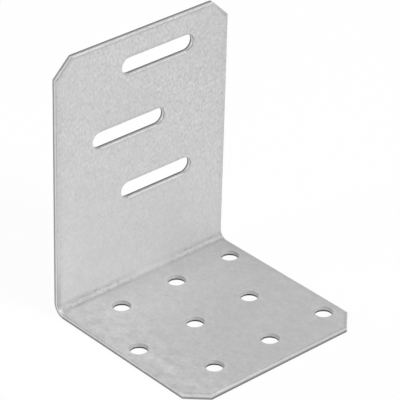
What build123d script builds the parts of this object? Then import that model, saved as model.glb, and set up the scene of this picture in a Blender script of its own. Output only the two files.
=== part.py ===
from build123d import *
from math import atan2, degrees
import os

# Adjustable angle bracket: one galvanised steel sheet, blanked, punched and folded once.
# Millimetres. X runs along the fold, the upright stands at the back, towards +Y, and the base
# lies on Z = 0. The origin is on the underside, in the middle of the bracket's width and depth.

# The blank
sheet = 1.5
width = 60.0
base_length = 60.0      # front edge to the back of the fold
upright_length = 80.0   # underside to top edge, as it would measure with the fold square
corner_cut = 5.5        # taken off both edges at each free corner

# The fold
fold_radius = 2.2       # on the inside
fold_angle = 87.5       # between the legs: pressed a little past square, so the upright leans in

# Screw holes in the base, in rows that are staggered from side to side. Margins run to the
# centres of the outermost holes, and the rest is spread evenly: at these sizes the holes come
# 20 mm apart across the bracket, and the rows of holes and slots 19.6 mm apart.
hole_diameter = 5.0
holes_per_row = 3
hole_rows = 3
side_margin = 5.0       # side edge to the nearest hole
front_margin = 9.9      # front edge to the first row
back_margin = 10.9      # last row to the back of the fold
row_shift = 5.0         # each row sits this far off the middle, the next one to the other side

# Adjusting slots in the upright, staggered and spread in the same way
slot_length = 25.0      # end to end
slot_width = 5.0
slot_count = 3
top_margin = 9.5        # top edge to the first slot's middle line
foot_margin = 31.3      # last slot's middle line to the underside
slot_shift = 5.0

# What the press leaves on the cut edges. It enters from the inside faces and draws their rims in,
# shears a straight land, and breaks through to the outside faces a little wider than it went in.
rim_radius = 0.3
land = 0.7              # straight wall below the rim of a hole or slot
breakout = 0.08         # added all round a hole or slot on the outside face


def side_of_sheet(inset):
    """One side of the sheet's section, from front edge to top edge, so far in from the outer side."""
    along_base = Line((base_length / 2, inset), (fold_outside_radius - base_length / 2, inset))
    fold = JernArc(along_base @ 1, along_base % 1, fold_outside_radius - inset, -fold_turn)
    rise = (fold % 1) * (upright_length - fold_outside_radius)
    up_upright = Line(fold @ 1, fold @ 1 + rise)
    return along_base, fold, up_upright


def cut_corners(bracket):
    """The bracket with its four free corners cut off at 45 degrees."""
    front_end = bracket.faces().sort_by(Axis.Y)[0]
    top_end = bracket.faces().sort_by(Axis.Z)[-1]
    corners = [edge for end in (front_end, top_end) for edge in end.edges().filter_by(Axis.X, reverse=True)]
    return chamfer(corners, corner_cut)


def punched(plane, outline):
    """What a punch takes out of the sheet below a plane on its inside face: straight, then flared."""
    depth = rim_radius + land
    flare = degrees(atan2(breakout, sheet - depth))
    straight = extrude(plane * outline, -depth)
    flared = extrude(plane.offset(-depth) * outline, -(sheet - depth), taper=-flare)
    return straight + flared


def side_to_side(shift, row):
    """A row's place across the width: off the middle, with the next row off to the other side."""
    return shift if row % 2 == 0 else -shift


os.makedirs("parts", exist_ok=True)

fold_outside_radius = fold_radius + sheet
fold_turn = 180 - fold_angle
hole_pitch = (width - 2 * side_margin - 2 * row_shift) / (holes_per_row - 1)
row_pitch = (base_length - front_margin - back_margin) / (hole_rows - 1)
slot_pitch = (upright_length - top_margin - foot_margin) / (slot_count - 1)

# The section, drawn with the base lying on the X axis and extruded out to both side edges
across = Plane(origin=(0, 0, 0), x_dir=(0, -1, 0), z_dir=(-1, 0, 0))
outer_side = side_of_sheet(0)
inner_side = side_of_sheet(sheet)
front_edge = Line(outer_side[0] @ 0, inner_side[0] @ 0)
top_edge = Line(outer_side[-1] @ 1, inner_side[-1] @ 1)
section = make_face([*outer_side, *inner_side, front_edge, top_edge])
bracket = extrude(across * section, width / 2, both=True)
bracket = cut_corners(bracket)

# The inside faces, each with its origin in the middle of its leg's free edge and its Y axis
# pointing away from the sheet's edge on the base and up the upright
inside_base = Plane(origin=(0, -base_length / 2, sheet))
up_inside = across * inner_side[-1]
inwards = Vector(1, 0, 0).cross(up_inside % 1)
inside_upright = Plane(origin=up_inside @ 1, x_dir=(1, 0, 0), z_dir=inwards)

hole = Circle(hole_diameter / 2)
for row in range(hole_rows):
    for place in range(holes_per_row):
        x = side_to_side(row_shift, row) + (place - (holes_per_row - 1) / 2) * hole_pitch
        bracket -= punched(inside_base, Pos(x, front_margin + row * row_pitch) * hole)

slot = SlotOverall(slot_length, slot_width)
for row in range(slot_count):
    x = side_to_side(slot_shift, row)
    bracket -= punched(inside_upright, Pos(x, -top_margin - row * slot_pitch) * slot)

# The rims of everything cut, on the side where the press went in
fold_inside = bracket.faces().filter_by(GeomType.CYLINDER).sort_by(SortBy.AREA)[-2]
flat_inside = bracket.faces().filter_by(
    lambda face: face.geom_type == GeomType.PLANE
    and (inside_base.contains(face.center()) or inside_upright.contains(face.center()))
)
fold_lines = fold_inside.edges().filter_by(Axis.X)
rims = ShapeList([*flat_inside, fold_inside]).edges() - fold_lines
bracket = fillet(rims, rim_radius)

bracket.label = "angle_bracket"
export_step(bracket, "parts/angle_bracket.step")
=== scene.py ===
import math

import bpy
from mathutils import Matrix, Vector
from mathutils.geometry import delaunay_2d_cdt


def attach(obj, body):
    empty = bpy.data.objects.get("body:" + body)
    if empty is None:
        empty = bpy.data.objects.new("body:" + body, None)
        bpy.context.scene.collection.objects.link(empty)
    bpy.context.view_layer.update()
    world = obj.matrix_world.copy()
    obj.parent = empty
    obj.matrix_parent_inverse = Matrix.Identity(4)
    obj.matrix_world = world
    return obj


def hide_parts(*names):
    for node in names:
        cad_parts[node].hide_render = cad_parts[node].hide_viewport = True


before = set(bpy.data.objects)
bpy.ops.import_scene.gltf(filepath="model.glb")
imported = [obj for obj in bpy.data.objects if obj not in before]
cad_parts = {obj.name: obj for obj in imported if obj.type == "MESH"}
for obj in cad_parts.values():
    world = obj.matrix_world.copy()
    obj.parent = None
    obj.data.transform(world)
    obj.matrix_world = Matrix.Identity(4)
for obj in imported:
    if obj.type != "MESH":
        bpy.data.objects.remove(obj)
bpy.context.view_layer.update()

# The folded sheet: the whole bracket is one piece of 1.5 mm steel, zinc coated at the mill. A press
# blanks it, punches its holes and slots and folds it once. It is made the same way here: a flat
# blank is given its cut edges, then bent round the fold. Lengths are in metres.

SHEET = 0.0015
WIDTH = 0.060
BASE = 0.060
UPRIGHT = 0.080
CORNER_CUT = 0.0055
FOLD_RADIUS = 0.0022
FOLD_TURN = math.radians(92.5)
FOLD_STEPS = 20
SWELL = 0.00012         # how far the squeezed inner side bulges out at the fold's two ends
SWELL_REACH = 0.002     # and how far in from the side edges it starts

HOLE_RADIUS = 0.0025
HOLE_ROWS = {           # from the front edge to a row, and across to its holes
    0.0099: (-0.015, 0.005, 0.025),
    0.0295: (-0.025, -0.005, 0.015),
    0.0491: (-0.015, 0.005, 0.025),
}
SLOT_REACH = 0.010      # from a slot's middle to the centres of its round ends
SLOT_ROWS = {0.0095: 0.005, 0.0291: -0.005, 0.0487: 0.005}  # from the top edge, and across

RIM = 0.0003
LAND = 0.0007
BREAKOUT = 0.00008
RAGGED = 0.00006        # how far the line between the land and the break wanders
MARGIN = 0.0009         # the strip of flat sheet beside a cut that the press marks

POINT_SPACING = 0.0008  # along the blank's outline
ARC_STEPS = 32          # round each half of a hole and each end of a slot
SLOT_STEPS = 24         # along each side of a slot
RIM_STEPS = 6           # round the rolled rim

fold_outside = FOLD_RADIUS + SHEET
base_flat = BASE - fold_outside
fold_length = FOLD_TURN * (FOLD_RADIUS + SHEET / 2)
fold_end = base_flat + fold_length
blank_length = fold_end + UPRIGHT - fold_outside


def bent(across, along, depth):
    """Where a point of the flat blank ends up.

    It lies this far along from the front edge, and at this depth from the outer side.
    """
    if along <= base_flat:
        return (across, along - BASE / 2, depth)
    turned = min((along - base_flat) / fold_length, 1) * FOLD_TURN
    near_end = max(0, 1 - (WIDTH / 2 - abs(across)) / SWELL_REACH)
    bulge = SWELL * math.sin(math.pi * turned / FOLD_TURN) * depth / SHEET * near_end ** 2
    across += math.copysign(bulge, across)
    reach = fold_outside - depth
    rise = max(along - fold_end, 0)
    y = BASE / 2 - fold_outside + reach * math.sin(turned) + rise * math.cos(turned)
    z = fold_outside - reach * math.cos(turned) + rise * math.sin(turned)
    return (across, y, z)


def outline_stops(inset):
    """The ends of the straight stretches of the blank's outline, drawn this far inside it."""
    side = WIDTH / 2 - inset
    half_corner = math.radians(45) / 2
    near = WIDTH / 2 - CORNER_CUT - inset * math.tan(half_corner)
    low = CORNER_CUT + inset * math.tan(half_corner)
    in_fold = [base_flat + fold_length * k / FOLD_STEPS for k in range(FOLD_STEPS + 1)]
    right = [(near, inset), (side, low)] + [(side, s) for s in in_fold]
    right += [(side, blank_length - low), (near, blank_length - inset)]
    return right + [(-x, s) for x, s in reversed(right)]


def outline_loop(inset):
    """The blank's outline as evenly spaced points, the same number of them for every inset."""
    true_stops, stops = outline_stops(0), outline_stops(inset)
    points = []
    for k in range(len(stops)):
        n = (k + 1) % len(stops)
        length = math.dist(true_stops[k], true_stops[n])
        count = max(1, round(length / POINT_SPACING))
        start, end = Vector(stops[k]), Vector(stops[n])
        points += [start.lerp(end, i / count) for i in range(count)]
    return points


def punch_loop(middle, along, reach, inset):
    """A punched hole's outline, or a slot's where reach isn't 0, this far out into the sheet."""
    radius = HOLE_RADIUS + inset
    points = []
    for side in (1, -1):
        centre = Vector((middle + side * reach, along))
        for k in range(ARC_STEPS + 1):
            angle = side * math.pi / 2 - math.pi * k / ARC_STEPS
            points.append(centre + radius * Vector((math.cos(angle), math.sin(angle))))
        if not reach:
            points.pop()
            continue
        across = Vector((-side * 2 * reach, 0))
        points += [points[-1] + across * k / SLOT_STEPS for k in range(1, SLOT_STEPS)]
    return points


def cut_profile(breakout):
    """Steps from the inside face, over the rim and down the cut, to the outside face.

    Each is how far into the sheet, the depth, what it is, how much of the break's wandering it
    takes, and how far it lies from the cut along the face.
    """
    rolled = math.pi / 2 * RIM
    land_end = SHEET - RIM - LAND
    steps = [(RIM + MARGIN, SHEET, "coat", 0, rolled + MARGIN)]
    for k in range(RIM_STEPS + 1):
        angle = math.pi / 2 * k / RIM_STEPS
        inset, depth = RIM * (1 - math.sin(angle)), SHEET - RIM * (1 - math.cos(angle))
        steps.append((inset, depth, "coat", 0, rolled * (1 - k / RIM_STEPS)))
    steps.append((0, (SHEET - RIM + land_end) / 2, "land", 0, 0))
    steps.append((0, land_end, "land", 1, 0))
    steps.append((breakout / 2, land_end / 2, "break", 0.5, 0))
    steps.append((breakout, 0, "break", 0, 0))
    steps.append((breakout + MARGIN, 0, "coat", 0, -MARGIN))
    return steps


# The coil is slit to its width, its corners and ends are cropped and the rest is punched. Each
# kind of cut has materials of its own, which carry its painted light and shade.
CUTS = ["upright side", "base side", "corner", "front", "top", "hole", "slot side", "slot end"]
SURFACES = ["coat"] + [cut + part for cut in CUTS for part in (" land", " break")]
loops = [(outline_loop, 0.0)]
for along, middles in HOLE_ROWS.items():
    for middle in middles:
        loops.append((lambda inset, m=middle, s=along: punch_loop(m, s, 0, inset), BREAKOUT))
for from_top, middle in SLOT_ROWS.items():
    along = blank_length - from_top
    loops.append((lambda inset, m=middle, s=along: punch_loop(m, s, SLOT_REACH, inset), BREAKOUT))

# Every vertex as it lies on the flat blank, every face with its surface, and its corners on two
# maps: "blank" is the place on the blank, or along and through a cut, and "cut" is the kind of the
# nearest cut and the distance from it. On the first map the sheet's outer side lies beside its
# inner side, and the cuts lie above both.
BLANK_UNIT = 0.1
OUTER_SHIFT = 1
CUTS_SHIFT = 2
CUT_UNIT = 0.001
LONG_WAVE, SHORT_WAVE = 0.008, 0.0043   # of the wandering line between land and break
LEVEL = 1e-6            # a stretch whose two ends differ by less runs straight across or along
vertices, faces, surfaces, blank_uvs, cut_uvs = [], [], [], [], []
inside_loops, outside_loops = [], []


def on_blank(vertex, shift):
    """A vertex's place on the map of the blank."""
    return vertices[vertex][0] / BLANK_UNIT + shift, vertices[vertex][1] / BLANK_UNIT


hole_count = sum(len(middles) for middles in HOLE_ROWS.values())
for number, (loop_at, breakout) in enumerate(loops):
    profile = cut_profile(breakout)
    wall = loop_at(0)
    steps = [math.dist(wall[k], wall[(k + 1) % len(wall)]) for k in range(len(wall))]
    runs = [sum(steps[:k]) for k in range(len(wall) + 1)]
    long_waves, short_waves = round(runs[-1] / LONG_WAVE), round(runs[-1] / SHORT_WAVE)
    rows = []
    for inset, depth, _, share, _ in profile:
        row = []
        for k, point in enumerate(loop_at(inset)):
            turn = 2 * math.pi * runs[k] / runs[-1]
            wander = 0.6 * math.sin(long_waves * turn + number)
            wander += 0.4 * math.sin(short_waves * turn + 2 * number)
            row.append(len(vertices))
            vertices.append((point.x, point.y, depth + RAGGED * share * wander))
        rows.append(row)
    inside_loops.append(rows[0])
    outside_loops.append(rows[-1])
    for upper, lower, above, below in zip(rows, rows[1:], profile, profile[1:]):
        for k in range(len(upper)):
            n = (k + 1) % len(upper)
            step = wall[n] - wall[k]
            level = abs(step.y) < LEVEL
            if number > hole_count:
                cut = "slot side" if level else "slot end"
            elif number:
                cut = "hole"
            elif level:
                cut = "front" if wall[k].y < base_flat else "top"
            elif abs(step.x) < LEVEL:
                cut = "base side" if wall[k].y < base_flat else "upright side"
            else:
                cut = "corner"
            surface = "coat" if below[2] == "coat" else cut + " " + below[2]
            face = [upper[k], lower[k], lower[n], upper[n]]
            run = [runs[k], runs[k], runs[k + 1], runs[k + 1]]
            faces.append(face)
            surfaces.append(SURFACES.index(surface))
            away = [above[4], below[4], below[4], above[4]]
            cut_uvs.append([(CUTS.index(cut), d / CUT_UNIT) for d in away])
            if surface == "coat":
                shift = OUTER_SHIFT if below[4] < 0 else 0
                blank_uvs.append([on_blank(v, shift) for v in face])
            else:
                through = [CUTS_SHIFT + vertices[v][2] / BLANK_UNIT for v in face]
                blank_uvs.append([(a / BLANK_UNIT, b) for a, b in zip(run, through)])


FAR = 5                 # millimetres from any cut, for the middle of a flat side


def add_face(corners, outside):
    """One face of a flat side of the blank, turned to look away from the steel."""
    a, b, c = (Vector(vertices[v][:2]) for v in corners[:3])
    if ((b - a).cross(c - a) > 0) == outside:
        corners = corners[::-1]
    faces.append(corners)
    surfaces.append(0)
    shift = OUTER_SHIFT if outside else 0
    blank_uvs.append([on_blank(v, shift) for v in corners])
    cut_uvs.append([(0, -FAR if outside else FAR)] * len(corners))


def fill(ring, holes, outside):
    """Triangles between one ring of vertices and the holes inside it."""
    index = [v for row in [ring, *holes] for v in row]
    place = {v: k for k, v in enumerate(index)}
    flat = [Vector(vertices[v][:2]) for v in index]
    rings = [[place[v] for v in row] for row in [ring, *holes]]
    _, _, triangles, origins, _, _ = delaunay_2d_cdt(flat, [], rings, 2, 1e-9)
    for triangle in triangles:
        add_face([index[origins[k][0]] for k in triangle], outside)


def flat_side(rows, outside):
    """Fills one side of the blank: both legs round their holes, and strips across the fold."""
    outline, punched = rows[0], rows[1:]
    edge = 1e-7         # so that both legs take in the fold's own first and last points
    in_base = [row for row in punched if vertices[row[0]][1] < base_flat]
    in_upright = [row for row in punched if vertices[row[0]][1] > fold_end]
    fill([v for v in outline if vertices[v][1] < base_flat + edge], in_base, outside)
    fill([v for v in outline if vertices[v][1] > fold_end - edge], in_upright, outside)
    across_fold = [v for v in outline if base_flat - edge < vertices[v][1] < fold_end + edge]
    right, left = across_fold[:FOLD_STEPS + 1], across_fold[:FOLD_STEPS:-1]
    for k in range(FOLD_STEPS):
        add_face([right[k], right[k + 1], left[k + 1], left[k]], outside)


flat_side(inside_loops, False)
flat_side(outside_loops, True)

sheet_mesh = bpy.data.meshes.new("folded_sheet")
sheet_mesh.from_pydata([bent(*v) for v in vertices], [], faces)
sheet_mesh.polygons.foreach_set("material_index", surfaces)
for name, corner_uvs in (("blank", blank_uvs), ("cut", cut_uvs)):
    uv_map = sheet_mesh.uv_layers.new(name=name)
    uv_map.data.foreach_set("uv", [value for face in corner_uvs for uv in face for value in uv])
sheet_mesh.polygons.foreach_set("use_smooth", [True] * len(faces))
sheet_mesh.set_sharp_from_angle(angle=math.radians(40))
bracket = bpy.data.objects.new("folded_sheet", sheet_mesh)
bpy.context.scene.collection.objects.link(bracket)
weighted = bracket.modifiers.new("flats stay flat", "WEIGHTED_NORMAL")
weighted.keep_sharp = True
weighted.weight = 80


def node(tree, kind, *sources, **values):
    """A node of this kind, fed by these sources in the order of its inputs.

    Its settings, and the values of its other inputs, come by name.
    """
    made = tree.nodes.new(kind)
    for name, value in values.items():
        if hasattr(made, name):
            setattr(made, name, value)
        else:
            made.inputs[name.replace("_", " ")].default_value = value
    for socket, source in zip(made.inputs, sources):
        if isinstance(source, bpy.types.NodeSocket):
            tree.links.new(source, socket)
        elif source is not None:
            socket.default_value = source
    return made


def sums(tree, operation, *sources):
    """The result of one sum on these sources."""
    return node(tree, "ShaderNodeMath", *sources, operation=operation).outputs[0]


def fade(tree, value, start, end, low=0.0, high=1.0):
    """From low at start to high at end, with soft shoulders."""
    made = node(tree, "ShaderNodeMapRange", value, interpolation_type="SMOOTHSTEP")
    made.inputs["From Min"].default_value = start
    made.inputs["From Max"].default_value = end
    made.inputs["To Min"].default_value = low
    made.inputs["To Max"].default_value = high
    return made.outputs[0]


def pick(tree, number, *choices):
    """The choice with this whole number, counted from 0."""
    middle = sums(tree, "ADD", number, 0.5)
    ramp = node(tree, "ShaderNodeValToRGB", sums(tree, "DIVIDE", middle, len(choices)))
    ramp.color_ramp.interpolation = "CONSTANT"
    stops = ramp.color_ramp.elements
    stops.remove(stops[1])
    for k, choice in enumerate(choices):
        stop = stops.new(k / len(choices)) if k else stops[0]
        stop.color = (choice / 2, choice / 2, choice / 2, 1)
    return sums(tree, "MULTIPLY", ramp.outputs[0], 2.0)


def new_group(name, inputs, outputs):
    """A node group with these numbers going in and coming out."""
    tree = bpy.data.node_groups.new(name, "ShaderNodeTree")
    sockets = tree.interface
    for label, value in inputs.items():
        kind = "NodeSocketVector" if isinstance(value, tuple) else "NodeSocketFloat"
        sockets.new_socket(name=label, in_out="INPUT", socket_type=kind).default_value = value
    for label in outputs:
        sockets.new_socket(name=label, in_out="OUTPUT", socket_type="NodeSocketFloat")
    return tree, node(tree, "NodeGroupInput").outputs, node(tree, "NodeGroupOutput")


# Grain of any size and direction, from about -0.5 to 0.5. Across and Along are how many grains
# there are to a millimetre.
grain_inputs = {"Place": (0.0, 0.0, 0.0), "Across": 1.0, "Along": 1.0, "Detail": 3.0, "Warp": 0.0}
grain_group, given, gives = new_group("metal grain", grain_inputs, ["Grain"])
spread = node(grain_group, "ShaderNodeCombineXYZ", given["Across"], given["Along"]).outputs[0]
there = node(grain_group, "ShaderNodeVectorMath", given["Place"], spread, operation="MULTIPLY")
noise = node(grain_group, "ShaderNodeTexNoise", there.outputs[0], Scale=1.0, Roughness=0.6)
grain_group.links.new(given["Detail"], noise.inputs["Detail"])
grain_group.links.new(given["Warp"], noise.inputs["Distortion"])
grain_group.links.new(sums(grain_group, "SUBTRACT", noise.outputs[0], 0.5), gives.inputs[0])

# Dark pits where dirt has settled: most of the metal has none.
pits_inputs = {"Place": (0.0, 0.0, 0.0), "Size": 1.0, "Share": 0.1}
pits_group, given, gives = new_group("dirt pits", pits_inputs, ["Dirt"])
spread = sums(pits_group, "DIVIDE", 1.0, given["Size"])
there = node(pits_group, "ShaderNodeVectorMath", given["Place"], operation="SCALE")
pits_group.links.new(spread, there.inputs["Scale"])
noise = node(pits_group, "ShaderNodeTexNoise", there.outputs[0], Scale=1.0, Detail=2.0,
             Roughness=0.5)
edge = sums(pits_group, "SUBTRACT", 0.72, given["Share"])
dirt = sums(pits_group, "DIVIDE", sums(pits_group, "SUBTRACT", noise.outputs[0], edge), 0.12)
pits_group.links.new(node(pits_group, "ShaderNodeClamp", dirt).outputs[0], gives.inputs[0])


def new_finish(name):
    """A material with an empty node tree, and the place on the blank in millimetres."""
    finish = bpy.data.materials.new(name)
    finish.use_nodes = True
    finish.node_tree.nodes.clear()
    tree = finish.node_tree
    unit = BLANK_UNIT * 1000
    place = node(tree, "ShaderNodeUVMap", uv_map="blank").outputs[0]
    place = node(tree, "ShaderNodeVectorMath", place, (unit, unit, 0), operation="MULTIPLY")
    return finish, tree, place.outputs[0]


def grain(tree, place, across, along, detail=3.0, warp=0.0):
    """The metal grain with its own size in each direction."""
    made = node(tree, "ShaderNodeGroup", node_tree=grain_group)
    tree.links.new(place, made.inputs["Place"])
    for name, value in (("Across", across), ("Along", along), ("Detail", detail), ("Warp", warp)):
        made.inputs[name].default_value = value
    return made.outputs[0]


def pits(tree, place, size, share):
    """The dirt pits with their size in millimetres and the share of the metal that has them."""
    made = node(tree, "ShaderNodeGroup", node_tree=pits_group)
    tree.links.new(place, made.inputs["Place"])
    made.inputs["Size"].default_value = size
    made.inputs["Share"].default_value = share
    return made.outputs[0]


STEEL_TINT = (0.998, 0.999, 1.0)


def steel(tree, value, roughness, height, relief, **values):
    """The metal's shader: grey of this value, with this roughness and this relief in metres."""
    colour = node(tree, "ShaderNodeVectorMath", value, STEEL_TINT, operation="MULTIPLY").outputs[0]
    bump = node(tree, "ShaderNodeBump", Strength=1.0, Distance=relief)
    tree.links.new(height, bump.inputs["Height"])
    metal = node(tree, "ShaderNodeBsdfPrincipled", **values)
    tree.links.new(colour, metal.inputs["Base Color"])
    tree.links.new(roughness, metal.inputs["Roughness"])
    tree.links.new(bump.outputs[0], metal.inputs["Normal"])
    node(tree, "ShaderNodeOutputMaterial", metal.outputs[0])


# The zinc: a dull, finely mottled grey, with grain drawn out the way the sheet was rolled. Places
# on it are in millimetres, across from the middle and along from the front edge.
ZINC = 0.565
ZINC_RELIEF = 0.00002
zinc, tree, place = new_finish("zinc coated sheet")
axes = node(tree, "ShaderNodeSeparateXYZ", place)
half_unit = BLANK_UNIT * 1000 / 2
across, along = sums(tree, "WRAP", axes.outputs[0], half_unit, -half_unit), axes.outputs[1]


def plus(value, part, share):
    """This value and a share of that part."""
    return sums(tree, "MULTIPLY_ADD", part, share, value)


def where(*masks):
    """Where all of these masks meet."""
    meeting = masks[0]
    for mask in masks[1:]:
        meeting = sums(tree, "MULTIPLY", meeting, mask)
    return meeting


def band(line, start, full, still, end):
    """A band over the sheet that grows from start to full and fades from still to end."""
    return where(fade(tree, line, start, full), fade(tree, line, end, still))


def near(line, middle, outer, inner):
    """1 up to the inner distance from this middle, and 0 from the outer distance on."""
    away = sums(tree, "ABSOLUTE", sums(tree, "SUBTRACT", line, middle))
    return fade(tree, away, outer, inner)


def toned(value, share, tone):
    """This value times the tone where the share is 1, and as it was where it is 0."""
    change = sums(tree, "MULTIPLY", share, sums(tree, "SUBTRACT", tone, 1.0))
    return sums(tree, "MULTIPLY", value, sums(tree, "ADD", change, 1.0))


fine = grain(tree, place, 1.9, 0.9, detail=2.0, warp=0.4)
crease = sums(tree, "ABSOLUTE", grain(tree, place, 1.1, 0.62, detail=2.0, warp=0.6))
crease = sums(tree, "SUBTRACT", 0.1, crease)
blotch = grain(tree, place, 0.34, 0.26, detail=2.0)
rolled = grain(tree, place, 0.5, 0.045, detail=2.0)
cloud = grain(tree, place, 0.06, 0.05, detail=1.0)
dirt = pits(tree, place, 1.1, 0.09)
soft = grain(tree, place, 0.85, 0.7, detail=1.0)

# The finest grain stands out most towards the top of the upright and least beside the fold.
on_base = fade(tree, along, 62.0, 52.0)
strength = plus(fade(tree, along, 66.0, 108.0, 0.6, 1.25), cloud, 0.9)
strength = plus(strength, across, plus(0.006, on_base, -0.013))
strength = plus(strength, on_base, -0.12)
mottle = plus(sums(tree, "MULTIPLY", crease, 0.42), fine, 0.52)
mottle = where(plus(mottle, dirt, -0.12), strength)
mottle = plus(mottle, blotch, plus(0.13, on_base, 0.09))
mottle = plus(mottle, soft, plus(0.07, on_base, 0.08))
mottle = plus(mottle, rolled, 0.03)
mottle = plus(mottle, cloud, 0.06)

# Over the fold the zinc is rougher, and painted shade darkens it. Two dark lines lie where the bend
# starts and ends, and the crazed zinc has fine light wrinkles between them, plainest at the two
# ends of the fold.
wander = sums(tree, "MULTIPLY", grain(tree, place, 0.2, 0.0, detail=3.0), 1.6)
bend = sums(tree, "ADD", along, wander)
in_fold = band(along, 56.0, 57.0, 60.4, 61.4)
low_line = band(bend, 56.8, 57.5, 57.7, 58.3)
between = band(bend, 57.2, 57.9, 59.0, 59.8)
high_line = band(bend, 58.9, 59.5, 59.8, 60.4)
off_middle = sums(tree, "ABSOLUTE", sums(tree, "SUBTRACT", across, 3.0))
ends = fade(tree, off_middle, 4.0, 14.0, 0.2, 1.0)
patchy = plus(1.0, grain(tree, place, 0.45, 0.6, detail=3.0), 3.0)
patchy = where(patchy, fade(tree, across, -29.0, -23.0, 0.35, 1.0))
wrinkle = sums(tree, "ABSOLUTE", grain(tree, place, 0.75, 1.0, detail=3.0, warp=1.5))
wrinkle = where(sums(tree, "SUBTRACT", 0.07, wrinkle), ends, between)

# Thin lines of painted light and shade lie round each cut, one on the rim and one beside it. Each
# kind of cut has the painted tone of its rim, the painted tone beside it, and what the rim's gains
# on the base.
PAINTED_RIM_TONES = {
    "upright side": (1.0, 1.0, 0.0),
    "base side": (1.0, 1.0, 0.0),
    "corner": (0.72, 0.87, 0.31),
    "front": (0.93, 1.0, 0.0),
    "top": (1.09, 0.84, 0.0),
    "hole": (0.78, 1.04, 0.0),
    "slot side": (1.16, 0.90, 0.0),
    "slot end": (0.78, 1.0, 0.0),
}
cut_map = node(tree, "ShaderNodeUVMap", uv_map="cut").outputs[0]
nearest, distance, _ = node(tree, "ShaderNodeSeparateXYZ", cut_map).outputs
rim_painted_tone, beside_painted_tone, base_painted_gain = [
    pick(tree, nearest, *tones) for tones in zip(*(PAINTED_RIM_TONES[cut] for cut in CUTS))]
rim_painted_tone = plus(rim_painted_tone, base_painted_gain, on_base)
from_cut = sums(tree, "ABSOLUTE", distance)
on_rim = fade(tree, from_cut, 0.5, 0.3)
beside_rim = sums(tree, "SUBTRACT", fade(tree, from_cut, 1.3, 0.8), on_rim)

# Painted shade darkens the grey towards the top, over the base and towards the side edges, and
# painted light and shade grade it from side to side. Light streaks over a little painted light
# cross the left of the base, painted shade darkens its middle, and painted light makes the middle
# of the fold a little paler on both sides.
value = sums(tree, "ADD", mottle, 1.0)
# Painted light and shade from side to side, and painted shade towards the top, over the base and at
# the side edges.
value = plus(value, across, plus(-0.0012, on_base, 0.002))
value = sums(tree, "ADD", value, fade(tree, along, 62.0, 130.0, 0.0, -0.11))
value = plus(value, on_base, -0.025)
value = toned(value, fade(tree, sums(tree, "ABSOLUTE", across), 27.4, 29.4), 0.94)
# Light streaks over a little painted light on the left of the base.
streaks_and_painted_light = where(on_base, fade(tree, across, -12.0, -25.0))
value = plus(value, streaks_and_painted_light, plus(0.03, blotch, 0.4))
# Painted shade in the middle of the base.
painted_shade_middle = where(near(across, 4.0, 17.0, 4.0), near(along, 31.0, 16.0, 4.0))
value = toned(value, painted_shade_middle, 0.95)
# Painted light round the middle of the fold.
painted_light_by_fold = where(near(across, -6.0, 19.0, 6.0), near(along, 59.0, 15.0, 5.0))
value = toned(value, painted_light_by_fold, 1.05)

# Painted shade over the whole fold.
value = toned(value, in_fold, plus(0.92, ends, -0.04))
value = plus(value, wrinkle, 2.2)
value = toned(value, where(low_line, patchy), plus(0.93, ends, -0.09))
value = toned(value, where(high_line, patchy, ends), 0.83)

# The rims' painted light and shade, set by the kind of cut.
value = toned(value, on_rim, rim_painted_tone)
# Painted shade along the front edge, deepening to the right.
front_rim_painted_shade = where(fade(tree, along, 0.6, 0.35), fade(tree, across, -20.0, 25.0))
value = toned(value, front_rim_painted_shade, 0.81)
# Painted light and shade beside the rims.
value = toned(value, beside_rim, beside_painted_tone)

# On the left, painted shade darkens the edge above the fold, beside the squeezed rim's bulge, the
# rim is dark on the back half of the base, and a light line lies beside it halfway along. At the
# fold a painted highlight lies on the squeezed rim.
on_left = fade(tree, across, -28.4, -29.2)
# Painted shade on the left edge above the fold.
value = toned(value, where(on_left, band(along, 59.2, 60.4, 63.0, 74.0)), 0.82)
left_rim = where(on_rim, fade(tree, across, 0.0, -20.0), fade(tree, along, 57.0, 55.0))
value = toned(value, left_rim, fade(tree, along, 26.0, 42.0, 1.0, 0.84))
value = toned(value, where(beside_rim, on_left, near(along, 31.0, 10.0, 4.0)), 1.07)
# A painted highlight on the squeezed rim at the fold's left end.
painted_highlight_at_fold = where(near(along, 57.7, 1.3, 0.4), fade(tree, across, -28.9, -29.5))
value = toned(value, painted_highlight_at_fold, 1.5)

roughness = plus(plus(0.6, in_fold, 0.2), fine, 0.2)
height = plus(plus(crease, fine, 0.6), wrinkle, 4.0)
steel(tree, sums(tree, "MULTIPLY", value, ZINC), roughness, height, ZINC_RELIEF, Metallic=0.25)

# Below the rim the steel is sheared smooth, with fine lines drawn through its thickness, and then
# it tears and leaves a dark grainy break. Each kind of cut has the grey of its land and of its
# break, the height in millimetres at which the land has its full grey, and the share of it that is
# left where painted shade darkens the land towards the break. The greys differ between the kinds of
# cut as painted light and shade, and the holes' break is darker still with painted shade.
CUT_GREYS_AND_PAINTED_LIGHT = {
    "upright side": (0.755, 0.36, 1.0, 0.55),
    "base side": (0.68, 0.25, 1.0, 0.5),
    "corner": (0.65, 0.30, 1.0, 0.5),
    "front": (0.57, 0.20, 1.1, 0.5),
    "top": (0.96, 0.235, 1.2, 0.45),
    "hole": (0.52, 0.05, 0.8, 0.7),
    "slot side": (0.92, 0.16, 1.2, 0.42),
    "slot end": (0.75, 0.16, 1.0, 0.55),
}
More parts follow.
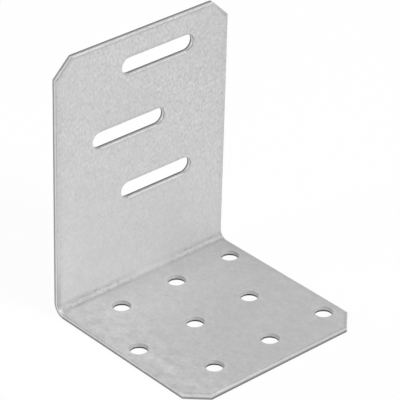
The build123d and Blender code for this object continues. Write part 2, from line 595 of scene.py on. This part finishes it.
# The height over which painted shade darkens the land.
PAINTED_SHADE_HEIGHT = 0.55          # millimetres of height over which the land dulls
LAND_RELIEF = 0.00002
BREAK_RELIEF = 0.00004
cuts = []
for cut in CUTS:
    smooth, dark, clear, low = CUT_GREYS_AND_PAINTED_LIGHT[cut]
    land, tree, place = new_finish(cut + " land")
    drawn = grain(tree, place, 4.0, 0.4, detail=3.0)
    above_outside = node(tree, "ShaderNodeSeparateXYZ", place).outputs[1]
    above_outside = sums(tree, "SUBTRACT", above_outside, CUTS_SHIFT * BLANK_UNIT * 1000)
    # Painted shade darkens the land towards the break.
    value = fade(tree, above_outside, clear - PAINTED_SHADE_HEIGHT, clear, low, 1.0)
    value = sums(tree, "MULTIPLY", value, smooth)
    value = sums(tree, "MULTIPLY_ADD", drawn, 0.3, value)
    value = sums(tree, "MULTIPLY_ADD", pits(tree, place, 0.5, 0.1), -0.1, value)
    roughness = sums(tree, "MULTIPLY_ADD", drawn, 0.2, 0.45)
    steel(tree, value, roughness, drawn, LAND_RELIEF, Metallic=0.6)

    torn_steel, tree, place = new_finish(cut + " break")
    torn = grain(tree, place, 2.5, 2.5, detail=4.0)
    value = sums(tree, "MULTIPLY_ADD", torn, dark, dark)
    clean = sums(tree, "MULTIPLY_ADD", pits(tree, place, 0.4, 0.14), -0.5, 1.0)
    value = sums(tree, "MULTIPLY", value, clean)
    roughness = sums(tree, "MULTIPLY_ADD", torn, 0.3, 0.7)
    steel(tree, value, roughness, torn, BREAK_RELIEF, Metallic=0.5)
    cuts += [land, torn_steel]

for finish in (zinc, *cuts):
    bracket.data.materials.append(finish)

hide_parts("angle_bracket")
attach(bracket, "root")

# The floor, the light and the camera. The floor is plain and pale. It lies a hair below the
# bracket and can be seen through from below, so that the underside can be looked at.

FLOOR_GAP = 0.00005
FLOOR_REACH = 3
FLOOR_GLOW = 0.93       # how much of what the camera sees of it is plain white, and not its shadows


def seen_directly(tree):
    """Two masks: rays of the camera, also mirrored or through something clear, and plain ones."""
    rays = node(tree, "ShaderNodeLightPath").outputs
    seen = sums(tree, "MAXIMUM", rays["Is Camera Ray"], rays["Is Glossy Ray"])
    return sums(tree, "MAXIMUM", seen, rays["Is Transmission Ray"]), rays["Is Camera Ray"]


floor_mesh = bpy.data.meshes.new("floor")
floor_corners = [(-1, -1), (1, -1), (1, 1), (-1, 1)]
floor_corners = [(FLOOR_REACH * x, FLOOR_REACH * y, 0) for x, y in floor_corners]
floor_mesh.from_pydata(floor_corners, [], [(0, 1, 2, 3)])
floor = bpy.data.objects.new("floor", floor_mesh)
floor.location.z = -FLOOR_GAP
bpy.context.scene.collection.objects.link(floor)
pale = bpy.data.materials.new("pale floor")
pale.use_nodes = True
tree = pale.node_tree
tree.nodes.clear()
matt = node(tree, "ShaderNodeBsdfDiffuse", (0.95, 0.95, 0.95, 1)).outputs[0]
white = node(tree, "ShaderNodeEmission", (1, 1, 1, 1), 1.0).outputs[0]
seen, _ = seen_directly(tree)
glow = sums(tree, "MULTIPLY", seen, FLOOR_GLOW)
above = node(tree, "ShaderNodeMixShader", glow, matt, white).outputs[0]
below = node(tree, "ShaderNodeBsdfTransparent").outputs[0]
from_below = node(tree, "ShaderNodeNewGeometry").outputs["Backfacing"]
mixed = node(tree, "ShaderNodeMixShader", from_below, above, below)
node(tree, "ShaderNodeOutputMaterial", mixed.outputs[0])
floor_mesh.materials.append(pale)

# A white wall stands all round the table, and in reflections the room above it is dimmer.
ROOM_LIGHT = 0.2
world = bpy.data.worlds.new("studio")
world.use_nodes = True
tree = world.node_tree
tree.nodes.clear()
direction = node(tree, "ShaderNodeTexCoord").outputs["Generated"]
height = node(tree, "ShaderNodeSeparateXYZ", direction).outputs[2]
shade = fade(tree, height, 0.05, 0.5, 1.0, 0.35)
seen, by_camera = seen_directly(tree)
lit = node(tree, "ShaderNodeBackground", shade, ROOM_LIGHT).outputs[0]
backdrop = sums(tree, "MAXIMUM", shade, by_camera)
shown = node(tree, "ShaderNodeBackground", backdrop, 1.0).outputs[0]
mixed = node(tree, "ShaderNodeMixShader", seen, lit, shown)
node(tree, "ShaderNodeOutputWorld", mixed.outputs[0])
bpy.context.scene.world = world

BRACKET_MIDDLE = Vector((0, 0.01, 0.03))


def softbox(name, place, size, power):
    """A square area lamp that looks at the middle of the bracket."""
    lamp = bpy.data.lights.new(name, "AREA")
    lamp.size = size
    lamp.energy = power
    held = bpy.data.objects.new(name, lamp)
    held.location = place
    towards = BRACKET_MIDDLE - Vector(place)
    held.rotation_euler = towards.to_track_quat("-Z", "Y").to_euler()
    bpy.context.scene.collection.objects.link(held)


softbox("key", (0.76, -1.98, 1.16), 1.0, 46)
softbox("left", (-1.95, 0.65, 1.2), 1.0, 17)
softbox("top", (0.0, -0.13, 2.43), 1.0, 18)
softbox("back", (-0.2, 2.25, 0.75), 1.0, 20)

lens = bpy.data.cameras.new("camera")
lens.sensor_width = 36
lens.lens = 230.715
lens.clip_start = 0.01
camera = bpy.data.objects.new("camera", lens)
camera.location = (-0.38699, -0.44864, 0.38963)
camera.rotation_euler = (math.radians(90 - 30.669), 0, math.radians(-40.602))
camera.rotation_euler.rotate_axis("Z", math.radians(-0.379))
bpy.context.scene.collection.objects.link(camera)
bpy.context.scene.camera = camera
bpy.context.scene.view_settings.view_transform = "Standard"
